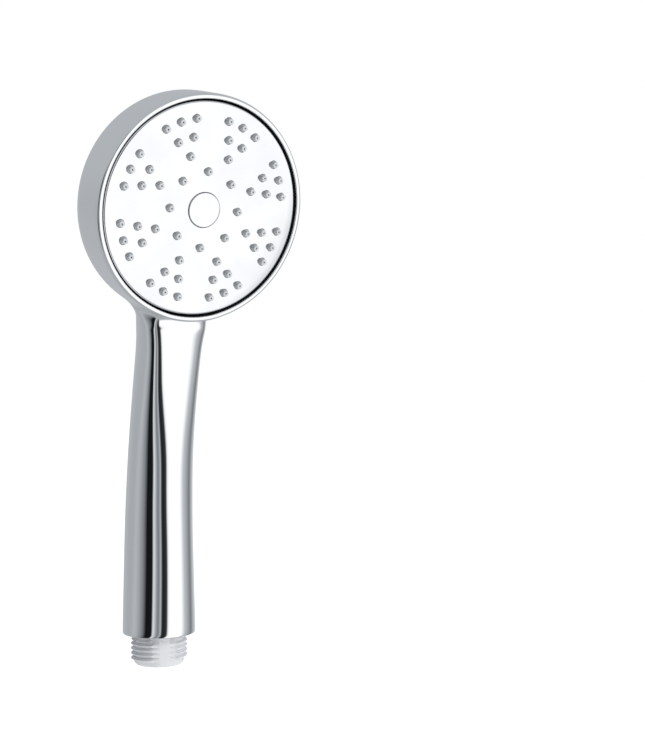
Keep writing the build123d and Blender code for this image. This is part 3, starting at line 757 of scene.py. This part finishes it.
def build_handle(bm, sizes):
    """Adds the handle's skin, from its bore over its end and up the outside.

    Returns its last ring and the bore's first.
    """
    height, radius = HANDLE_END[0]
    ring = new_ring(bm, OUTER_RING)
    place_ring(ring, axis_frame(sizes, height * MM), radius * MM, radius * MM)
    bore = ring
    for height, radius in HANDLE_END[1:]:
        ring = extrude_ring(bm, ring)
        place_ring(ring, axis_frame(sizes, height * MM), radius * MM, radius * MM)
    _, bend_end, end_height = bend_lengths(sizes)
    neck_start = bend_end + NECK[0][0] * MM - end_height
    first = (HANDLE_END[-1][0] + HANDLE_FIRST_GAP) * MM
    last = neck_start - HANDLE_LAST_GAP * MM
    for step in range(HANDLE_RINGS):
        length = first + (last - first) * step / (HANDLE_RINGS - 1)
        ring = extrude_ring(bm, ring)
        radius = handle_radius(sizes, length)
        rise = max(1 - (neck_start - length) / (SQUARE_LENGTH * MM), 0)
        square = 2 + (NECK_SQUARENESS - 2) * rise
        front = radius + (sizes.axis_depth - NECK[0][2] * MM - radius) * rise
        place_ring(ring, axis_frame(sizes, length), radius, radius, front, square)
    for height, half_width, front, back in NECK:
        ring = extrude_ring(bm, ring)
        frame_here = axis_frame(sizes, bend_end + height * MM - end_height)
        behind = back * MM - sizes.axis_depth
        ahead = sizes.axis_depth - front * MM
        place_ring(ring, frame_here, half_width * MM, behind, ahead, NECK_SQUARENESS)
    return ring, bore


def build_hollow(bm, sizes, bore):
    """Adds the hollow inside the handle, joined to the bore; returns its last ring."""
    ring = new_ring(bm, INNER_RING)
    _, bend_end, end_height = bend_lengths(sizes)
    last = bend_end + NECK[-1][0] * MM - end_height
    first = (HANDLE_END[0][0] + 1) * MM
    place_ring(ring, axis_frame(sizes, first), HOLLOW_START_RADIUS * MM, HOLLOW_START_RADIUS * MM)
    bmesh.ops.bridge_loops(bm, edges=ring_edges(ring) + ring_edges(bore))
    for step in range(1, HOLLOW_RINGS + 1):
        length = first + (last - first) * step / HOLLOW_RINGS
        radius = handle_radius(sizes, length) - sizes.wall
        ring = extrude_ring(bm, ring)
        place_ring(ring, axis_frame(sizes, length), radius, radius)
    return ring


def open_neck(bm, sizes, opening, outer):
    """Opens one wall of the head for the neck and returns the hole's vertices in order."""
    place = face_frame(sizes)
    faces = head_faces(bm, place.inverted(), opening, outer)
    seam_depth = OUTER_SEAM_DEPTH if outer else INNER_SEAM_DEPTH
    first = place @ Vector((0, -opening[1] * MM, -seam_depth * MM))
    return open_loop(bm, faces, first, Vector((1, 0, 0)))


def join_neck(bm, sizes, ring, hole, reach, landing):
    """Carries a handle ring on to a hole in the head's wall."""
    if len(hole) != len(ring):
        raise RuntimeError(f"the neck has {len(ring)} points and its hole {len(hole)}")
    up = face_frame(sizes).to_3x3() @ Vector((0, 1, 0))
    blend_to_hole(bm, ring, hole, up, reach, landing)


# ---------------------------------------------------------------- finishes
def make_variation_group():
    """Shader group that gives slow patches and a fine grain in millimetres."""
    group = bpy.data.node_groups.new("moulded variation", "ShaderNodeTree")
    sockets = (("Patch size", 12.0), ("Grain size", 0.4), ("Contrast", 0.5))
    for name, value in sockets:
        socket = group.interface.new_socket(name, in_out="INPUT", socket_type="NodeSocketFloat")
        socket.default_value = value
    group.interface.new_socket("Patches", in_out="OUTPUT", socket_type="NodeSocketFloat")
    group.interface.new_socket("Grain", in_out="OUTPUT", socket_type="NodeSocketFloat")
    nodes, links = group.nodes, group.links
    inputs = nodes.new("NodeGroupInput")
    outputs = nodes.new("NodeGroupOutput")
    place = nodes.new("ShaderNodeTexCoord")
    for name in ("Patch", "Grain"):
        scale = nodes.new("ShaderNodeMath")
        scale.operation = "DIVIDE"
        scale.inputs[0].default_value = 1 / MM
        links.new(inputs.outputs[name + " size"], scale.inputs[1])
        noise = nodes.new("ShaderNodeTexNoise")
        noise.inputs["Detail"].default_value = NOISE_DETAIL
        noise.inputs["Roughness"].default_value = NOISE_ROUGHNESS
        links.new(place.outputs["Object"], noise.inputs["Vector"])
        links.new(scale.outputs[0], noise.inputs["Scale"])
        if name == "Patch":
            centred = nodes.new("ShaderNodeMath")
            centred.operation = "SUBTRACT"
            centred.inputs[1].default_value = 0.5
            spread = nodes.new("ShaderNodeMath")
            spread.operation = "MULTIPLY_ADD"
            spread.use_clamp = True
            spread.inputs[2].default_value = 0.5
            links.new(noise.outputs[0], centred.inputs[0])
            links.new(centred.outputs[0], spread.inputs[0])
            strength = nodes.new("ShaderNodeMath")
            strength.operation = "MULTIPLY"
            strength.inputs[1].default_value = CONTRAST_GAIN
            links.new(inputs.outputs["Contrast"], strength.inputs[0])
            links.new(strength.outputs[0], spread.inputs[1])
            links.new(spread.outputs[0], outputs.inputs["Patches"])
        else:
            links.new(noise.outputs[0], outputs.inputs["Grain"])
    return group


def shared_group():
    """The variation group, made once."""
    return bpy.data.node_groups.get("moulded variation") or make_variation_group()


def finish(name, colour, second, rough, metal=0.0, relief=0.0, patch=12.0, grain=0.4):
    """Material whose colour and roughness drift between two values over the surface.

    rough is a pair of roughnesses and relief the grain's height in millimetres.
    """
    material = bpy.data.materials.new(name)
    material.use_nodes = True
    nodes, links = material.node_tree.nodes, material.node_tree.links
    shader = nodes["Principled BSDF"]
    shader.inputs["Metallic"].default_value = metal
    variation = nodes.new("ShaderNodeGroup")
    variation.node_tree = shared_group()
    variation.inputs["Patch size"].default_value = patch
    variation.inputs["Grain size"].default_value = grain
    tint = nodes.new("ShaderNodeMix")
    tint.data_type = "RGBA"
    tint.inputs["A"].default_value = (*colour, 1)
    tint.inputs["B"].default_value = (*second, 1)
    links.new(variation.outputs["Patches"], tint.inputs["Factor"])
    links.new(tint.outputs["Result"], shader.inputs["Base Color"])
    gloss = nodes.new("ShaderNodeMapRange")
    gloss.inputs["To Min"].default_value = rough[0]
    gloss.inputs["To Max"].default_value = rough[1]
    links.new(variation.outputs["Patches"], gloss.inputs["Value"])
    links.new(gloss.outputs["Result"], shader.inputs["Roughness"])
    if relief:
        bump = nodes.new("ShaderNodeBump")
        bump.inputs["Distance"].default_value = relief * MM
        bump.inputs["Strength"].default_value = 1.0
        links.new(variation.outputs["Grain"], bump.inputs["Height"])
        links.new(bump.outputs["Normal"], shader.inputs["Normal"])
    return material


def shade(colour, factor):
    """The colour made lighter or darker."""
    return tuple(min(channel * factor, 1.0) for channel in colour)


def dress(names, material):
    """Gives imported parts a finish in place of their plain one."""
    for name in names:
        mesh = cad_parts[name].data
        mesh.materials.clear()
        mesh.materials.append(material)


def settings():
    """Sizes and colours of this scene."""
    scene = bpy.context.scene
    return scene.hand_shower_sizes, scene.hand_shower_colours


# ---------------------------------------------------------------- operators
class HANDSHOWER_OT_body(bpy.types.Operator):
    """Build the chromed head and handle as one hollow moulding"""

    bl_idname = "handshower.body"
    bl_label = "Body"

    def execute(self, context):
        sizes, colours = settings()
        chrome = finish(
            "body chrome",
            colours.chrome,
            shade(colours.chrome, 0.985),
            (0.018, 0.03),
            metal=1.0,
            patch=25.0,
        )
        bm = bmesh.new()
        turn_outline(bm, sizes, BACK_OUTLINE + RIM_OUTLINE + RECESS_OUTLINE, HEAD_STEPS)
        outer_hole = open_neck(bm, sizes, OUTER_OPENING, True)
        inner_hole = open_neck(bm, sizes, INNER_OPENING, False)
        narrow_opening(bm, sizes)
        ring, bore = build_handle(bm, sizes)
        hollow = build_hollow(bm, sizes, bore)
        join_neck(bm, sizes, ring, outer_hole, reach=1.0, landing=0.8)
        join_neck(bm, sizes, hollow, inner_hole, reach=1.0, landing=0.3)
        body = finish_mesh(bm, "chromed_body", chrome, 2)
        # This near-black finish is painted shade: the inside of the head is chrome like the rest,
        # drawn dark where shade fills the deep recess.
        unplated = finish(
            "recess painted shade",
            PAINTED_SHADE_COLOUR,
            PAINTED_SHADE_PALER,
            (0.7, 0.8),
            relief=0.002,
        )
        body.data.materials.append(unplated)
        # Faces within the head's radius, behind the rim and in front of a dome just beyond the
        # inner wall, get the painted shade; the rest stays chrome.
        place = face_frame(sizes).inverted()
        for polygon in body.data.polygons:
            centre = place @ polygon.center / MM
            radius = hypot(centre.x, centre.y)
            depth = -centre.z
            if PAINTED_SHADE_FRONT < depth < PAINTED_SHADE_BACK and radius < PAINTED_SHADE_RADIUS:
                plated = depth > dome_depth(PAINTED_SHADE_DOME_DEPTH, radius)
                polygon.material_index = 0 if plated else 1
        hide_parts("body_shell")
        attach(body, HANDSET)
        return {"FINISHED"}


class HANDSHOWER_OT_spray_face(bpy.types.Operator):
    """Build the spray plate, its centre cap and the soft nozzles"""

    bl_idname = "handshower.spray_face"
    bl_label = "Spray face"

    def execute(self, context):
        sizes, colours = settings()
        # The plate's colour drifts at random to bluish-grey patches: partly the plating's own
        # tone, partly painted reflection.
        tone_and_reflection_tint = tuple(channel * keep for channel, keep in zip(colours.face, PLATE_TONE_AND_REFLECTION))
        plate = finish(
            "spray plate chrome",
            colours.face,
            tone_and_reflection_tint,
            (0.03, 0.05),
            metal=1.0,
            patch=26.0,
        )
        bm = bmesh.new()
        turn_outline(bm, sizes, plate_outline(), PLATE_STEPS)
        face = finish_mesh(bm, "spray_plate", plate, 0)
        cut_nozzle_holes(face, sizes)
        face.data.set_sharp_from_angle(angle=radians(32))
        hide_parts("face_plate")
        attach(face, HANDSET)
        bm = bmesh.new()
        turn_outline(bm, sizes, CAP_OUTLINE, CAP_STEPS)
        cap = finish_mesh(bm, "plain_centre_cap", plate, 0)
        cap.data.set_sharp_from_angle(angle=radians(40))
        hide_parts("centre_cap")
        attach(cap, HANDSET)
        silicone = finish(
            "nozzle silicone",
            colours.silicone,
            shade(colours.silicone, 1.1),
            (0.4, 0.5),
            relief=0.0015,
            patch=5.0,
            grain=0.3,
        )
        bm = bmesh.new()
        build_nozzles(bm, sizes)
        nozzles = finish_mesh(bm, "soft_nozzles", silicone, 0)
        nozzles.data.set_sharp_from_angle(angle=radians(50))
        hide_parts("nozzle_mat")
        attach(nozzles, HANDSET)
        return {"FINISHED"}


class HANDSHOWER_OT_inlet(bpy.types.Operator):
    """Build the threaded inlet and finish its filter"""

    bl_idname = "handshower.inlet"
    bl_label = "Inlet"

    def execute(self, context):
        _, colours = settings()
        white = finish(
            "inlet plastic",
            colours.white_plastic,
            shade(colours.white_plastic, 0.96),
            (0.36, 0.46),
            relief=0.002,
            patch=8.0,
            grain=0.3,
        )
        inlet = crisp_copy("inlet_connector", "threaded_inlet", white, angle=28)
        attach(inlet, HANDSET)
        mesh = finish(
            "filter steel",
            colours.steel,
            shade(colours.steel, 0.8),
            (0.25, 0.4),
            metal=1.0,
            patch=1.5,
        )
        dress(("inlet_filter_mesh",), mesh)
        ring = finish(
            "filter ring plastic",
            colours.inner_plastic,
            shade(colours.inner_plastic, 0.9),
            (0.4, 0.5),
            relief=0.006,
            patch=4.0,
        )
        dress(("inlet_filter_ring",), ring)
        return {"FINISHED"}


class HANDSHOWER_OT_inner_parts(bpy.types.Operator):
    """Finish the parts inside: water tube, chamber, seals, valve, regulator and screws"""

    bl_idname = "handshower.inner_parts"
    bl_label = "Inner parts"

    def execute(self, context):
        _, colours = settings()
        natural = finish(
            "natural plastic",
            colours.inner_plastic,
            shade(colours.inner_plastic, 0.92),
            (0.42, 0.55),
            relief=0.008,
        )
        dress(
            ("nozzle_backing_plate", "chamber_cover", "handle_tube", "connector_snap_ring"),
            natural,
        )
        valve = finish(
            "valve plastic",
            colours.valve_plastic,
            shade(colours.valve_plastic, 1.2),
            (0.38, 0.5),
            relief=0.006,
            patch=4.0,
        )
        dress(("check_valve_body", "check_valve_poppet", "check_valve_retainer"), valve)
        regulator = finish(
            "regulator plastic",
            colours.regulator_plastic,
            shade(colours.regulator_plastic, 1.2),
            (0.38, 0.5),
            relief=0.006,
            patch=4.0,
        )
        dress(("flow_regulator_body",), regulator)
        rubber = finish(
            "seal rubber",
            colours.rubber,
            shade(colours.rubber, 1.8),
            (0.5, 0.68),
            relief=0.01,
            patch=3.0,
            grain=0.12,
        )
        seals = [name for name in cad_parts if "seal" in name or "o_ring" in name]
        dress(seals, rubber)
        steel = finish(
            "stainless steel",
            colours.steel,
            shade(colours.steel, 0.85),
            (0.22, 0.36),
            metal=1.0,
            relief=0.004,
            patch=2.0,
            grain=0.1,
        )
        dress(("chamber_screws", "centre_screw"), steel)
        build_valve_spring(steel)
        return {"FINISHED"}


def make_surroundings():
    """World that lights the scene softly and gives the chrome something to mirror."""
    world = bpy.data.worlds.new("studio")
    bpy.context.scene.world = world
    world.use_nodes = True
    nodes, links = world.node_tree.nodes, world.node_tree.links
    nodes.clear()
    place = nodes.new("ShaderNodeTexCoord")
    split = nodes.new("ShaderNodeSeparateXYZ")
    links.new(place.outputs["Generated"], split.inputs[0])
    away = nodes.new("ShaderNodeMath")
    away.operation = "MULTIPLY"
    away.inputs[1].default_value = -1
    links.new(split.outputs["Y"], away.inputs[0])
    angle = nodes.new("ShaderNodeMath")
    angle.operation = "ARCTAN2"
    links.new(split.outputs["X"], angle.inputs[0])
    links.new(away.outputs[0], angle.inputs[1])
    turn = nodes.new("ShaderNodeMapRange")
    turn.inputs["From Min"].default_value = -pi
    turn.inputs["From Max"].default_value = pi
    links.new(angle.outputs[0], turn.inputs["Value"])
    # the flags lean: low down they stand further to the right
    lean = nodes.new("ShaderNodeMapRange")
    lean.inputs["From Min"].default_value = LEAN_HEIGHTS[0]
    lean.inputs["From Max"].default_value = LEAN_HEIGHTS[1]
    lean.inputs["To Min"].default_value = LEAN_TURNS[0] / 360
    lean.inputs["To Max"].default_value = LEAN_TURNS[1] / 360
    links.new(split.outputs["Z"], lean.inputs["Value"])
    leaning = nodes.new("ShaderNodeMath")
    links.new(turn.outputs["Result"], leaning.inputs[0])
    links.new(lean.outputs["Result"], leaning.inputs[1])
    ring = nodes.new("ShaderNodeValToRGB")
    links.new(leaning.outputs[0], ring.inputs["Fac"])
    stops = ring.color_ramp.elements
    while len(stops) < len(STUDIO_RING):
        stops.new(0.5)
    for stop, (degrees_right, brightness) in zip(stops, STUDIO_RING):
        stop.position = (degrees_right + CAMERA_TURN + 180) / 360
        tint = GREY_TINT * max(1 - brightness, 0)
        stop.color = (brightness * (1 - tint), brightness, brightness * (1 + tint), 1)
    # steeply down everything turns to the floor's soft grey
    fade = nodes.new("ShaderNodeMapRange")
    fade.interpolation_type = "SMOOTHSTEP"
    fade.inputs["From Min"].default_value = DOWN_FADE[0]
    fade.inputs["From Max"].default_value = DOWN_FADE[1]
    links.new(split.outputs["Z"], fade.inputs["Value"])
    mirrored = nodes.new("ShaderNodeMix")
    mirrored.data_type = "RGBA"
    mirrored.inputs["B"].default_value = DOWN_GREY
    links.new(fade.outputs["Result"], mirrored.inputs["Factor"])
    # above eye level the surroundings are a plain light grey
    above = nodes.new("ShaderNodeMapRange")
    above.interpolation_type = "SMOOTHSTEP"
    above.inputs["From Min"].default_value = UP_FADE[0]
    above.inputs["From Max"].default_value = UP_FADE[1]
    links.new(split.outputs["Z"], above.inputs["Value"])
    level = nodes.new("ShaderNodeMix")
    level.data_type = "RGBA"
    level.inputs["B"].default_value = UP_GREY
    links.new(above.outputs["Result"], level.inputs["Factor"])
    links.new(ring.outputs["Color"], level.inputs["A"])
    links.new(level.outputs["Result"], mirrored.inputs["A"])
    surroundings = nodes.new("ShaderNodeBackground")
    links.new(mirrored.outputs["Result"], surroundings.inputs["Color"])
    backdrop = nodes.new("ShaderNodeBackground")
    backdrop.inputs["Color"].default_value = (1, 1, 1, 1)
    seen = nodes.new("ShaderNodeLightPath")
    mix = nodes.new("ShaderNodeMixShader")
    links.new(seen.outputs["Is Camera Ray"], mix.inputs["Fac"])
    links.new(surroundings.outputs[0], mix.inputs[1])
    links.new(backdrop.outputs[0], mix.inputs[2])
    output = nodes.new("ShaderNodeOutputWorld")
    links.new(mix.outputs[0], output.inputs["Surface"])


def make_floor():
    """Plain pale floor below the hand shower."""
    bm = bmesh.new()
    bmesh.ops.create_grid(bm, x_segments=1, y_segments=1, size=FLOOR_SIZE)
    bmesh.ops.translate(bm, verts=bm.verts, vec=(0, 0, -FLOOR_DROP))
    material = bpy.data.materials.new("floor")
    material.use_nodes = True
    shader = material.node_tree.nodes["Principled BSDF"]
    shader.inputs["Base Color"].default_value = FLOOR_COLOUR
    shader.inputs["Roughness"].default_value = FLOOR_ROUGHNESS
    shader.inputs["Emission Color"].default_value = (1, 1, 1, 1)
    shader.inputs["Emission Strength"].default_value = FLOOR_GLOW
    floor = finish_mesh(bm, "floor", material, 0)
    floor.visible_glossy = False


def make_key_light():
    """Soft area light that isn't mirrored in the chrome."""
    light = bpy.data.lights.new("key", "AREA")
    light.energy = KEY_ENERGY
    light.size = KEY_SIZE
    lamp = bpy.data.objects.new("key", light)
    lamp.location = KEY_PLACE
    towards = Vector(KEY_AIM) - Vector(KEY_PLACE)
    lamp.rotation_euler = towards.to_track_quat("-Z", "Y").to_euler()
    lamp.visible_glossy = False
    bpy.context.scene.collection.objects.link(lamp)


def make_camera():
    """Camera to the left of the spray face, a little above the hand shower's middle."""
    data = bpy.data.cameras.new("camera")
    data.lens = CAMERA_LENS
    data.sensor_width = CAMERA_SENSOR
    camera = bpy.data.objects.new("camera", data)
    forward = Vector(CAMERA_FORWARD).normalized()
    right = forward.cross(Vector((0, 0, 1))).normalized()
    up = right.cross(forward)
    lean = Matrix.Rotation(radians(CAMERA_LEAN), 3, forward)
    turn = lean @ Matrix((right, up, -forward)).transposed()
    camera.matrix_world = Matrix.Translation(CAMERA_PLACE) @ turn.to_4x4()
    bpy.context.scene.collection.objects.link(camera)
    bpy.context.scene.camera = camera


class HANDSHOWER_OT_stage(bpy.types.Operator):
    """Set up the pale floor, the soft studio light and the camera"""

    bl_idname = "handshower.stage"
    bl_label = "Stage"

    def execute(self, context):
        make_surroundings()
        make_floor()
        make_key_light()
        make_camera()
        view = context.scene.view_settings
        view.view_transform = "Standard"
        return {"FINISHED"}


class HANDSHOWER_PT_panel(bpy.types.Panel):
    """Hand shower builder"""

    bl_idname = "HANDSHOWER_PT_panel"
    bl_label = "Hand Shower"
    bl_space_type = "VIEW_3D"
    bl_region_type = "UI"
    bl_category = "Hand Shower"

    def draw(self, context):
        layout = self.layout
        for settings_group in settings():
            box = layout.box()
            for name in settings_group.bl_rna.properties.keys():
                if name not in ("rna_type", "name"):
                    box.prop(settings_group, name)
        for operator in OPERATORS:
            layout.operator(operator.bl_idname)


OPERATORS = (
    HANDSHOWER_OT_body,
    HANDSHOWER_OT_spray_face,
    HANDSHOWER_OT_inlet,
    HANDSHOWER_OT_inner_parts,
    HANDSHOWER_OT_stage,
)
CLASSES = (HandShowerSizes, HandShowerColours, *OPERATORS, HANDSHOWER_PT_panel)


def register():
    """Registers the builder's classes and its settings."""
    for cls in CLASSES:
        bpy.utils.register_class(cls)
    bpy.types.Scene.hand_shower_sizes = PointerProperty(type=HandShowerSizes)
    bpy.types.Scene.hand_shower_colours = PointerProperty(type=HandShowerColours)


def unregister():
    """Removes the builder's classes and its settings."""
    del bpy.types.Scene.hand_shower_colours
    del bpy.types.Scene.hand_shower_sizes
    for cls in reversed(CLASSES):
        bpy.utils.unregister_class(cls)


def main():
    """Builds everything in order."""
    register()
    for operator in OPERATORS:
        getattr(bpy.ops.handshower, operator.bl_idname.split(".")[1])()


if __name__ == "__main__":
    main()
